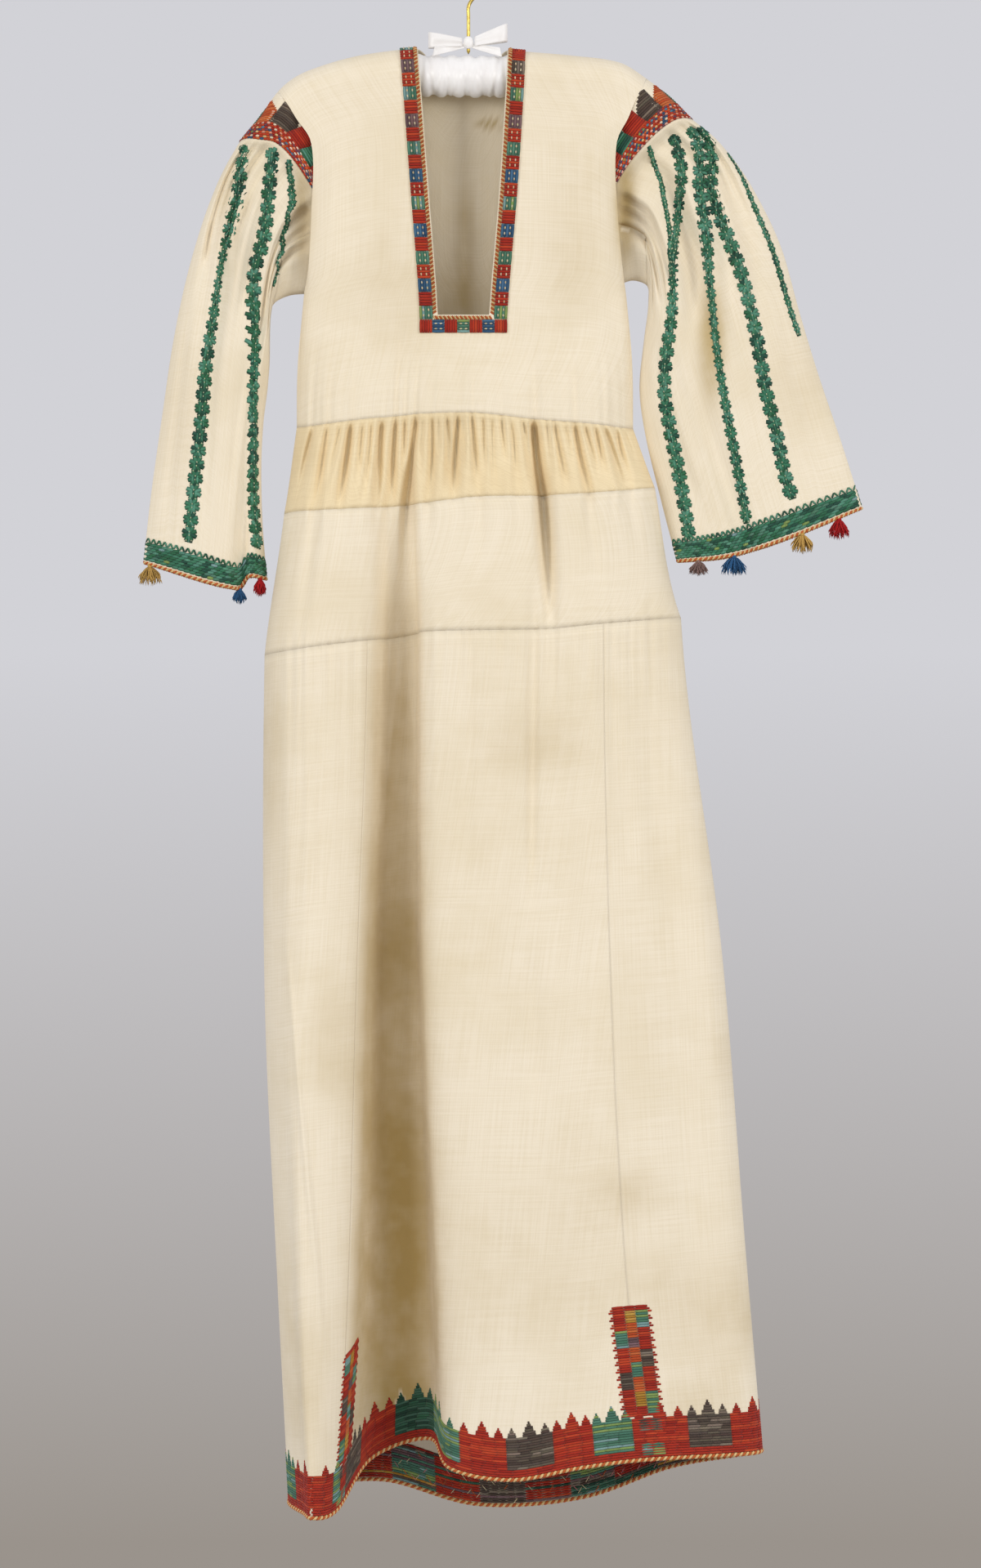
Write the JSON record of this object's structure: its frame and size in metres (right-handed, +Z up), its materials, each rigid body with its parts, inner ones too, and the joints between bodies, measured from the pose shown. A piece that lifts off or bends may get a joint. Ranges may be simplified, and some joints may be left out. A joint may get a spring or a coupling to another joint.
{
  "type": "embroidered folk dress on a padded hanger",
  "caption": "Long cream homespun dress with embroidered neck, shoulders, sleeves and hem, gathered at the waist, hung on a padded satin hanger with a wire hook.",
  "frame": {"origin": "underside of the hook's crown, where a rail carries the hanger", "axes": "+Z up, -Y out of the front of the dress, +X to the right of someone facing the front"},
  "size_m": [0.6631, 0.1379, 1.4311],
  "materials": {
    "homespun": "matte plain weave, slubby",
    "tan_homespun": "matte plain weave, gathered",
    "embroidery": "matte wool stitching",
    "wool_yellow": "soft wool",
    "wool_blue": "soft wool",
    "wool_red": "soft wool",
    "wool_mauve": "soft wool",
    "satin": "satin sheen",
    "wire": "bright drawn wire"
  },
  "bodies": {
    "root": {"bodice_front": "homespun", "bodice_back": "homespun", "skirt_yoke_front": "homespun", "skirt_yoke_back": "homespun", "skirt_front": "homespun", "skirt_side_right": "homespun", "skirt_back": "homespun", "skirt_side_left": "homespun", "sleeve_left": "homespun", "sleeve_right": "homespun", "gusset_left": "homespun", "gusset_right": "homespun", "waist_band_front": "tan_homespun", "waist_band_back": "tan_homespun", "neck_edging": "embroidery", "hem_cord": "embroidery", "shoulder_left": "embroidery", "shoulder_right": "embroidery", "sleeve_band_left": "embroidery", "sleeve_band_right": "embroidery", "cuff_band_left": "embroidery", "cuff_band_right": "embroidery", "tassel_left_yellow": "wool_yellow", "tassel_left_blue": "wool_blue", "tassel_left_red": "wool_red", "tassel_right_mauve": "wool_mauve", "tassel_right_blue": "wool_blue", "tassel_right_yellow": "wool_yellow", "tassel_right_red": "wool_red", "hanger_pad": "satin", "bow_knot": "satin", "bow_loop_left": "satin", "bow_loop_right": "satin", "bow_tail_left": "satin", "bow_tail_right": "satin", "hanger_hook": "wire"}
  },
  "joints": []
}
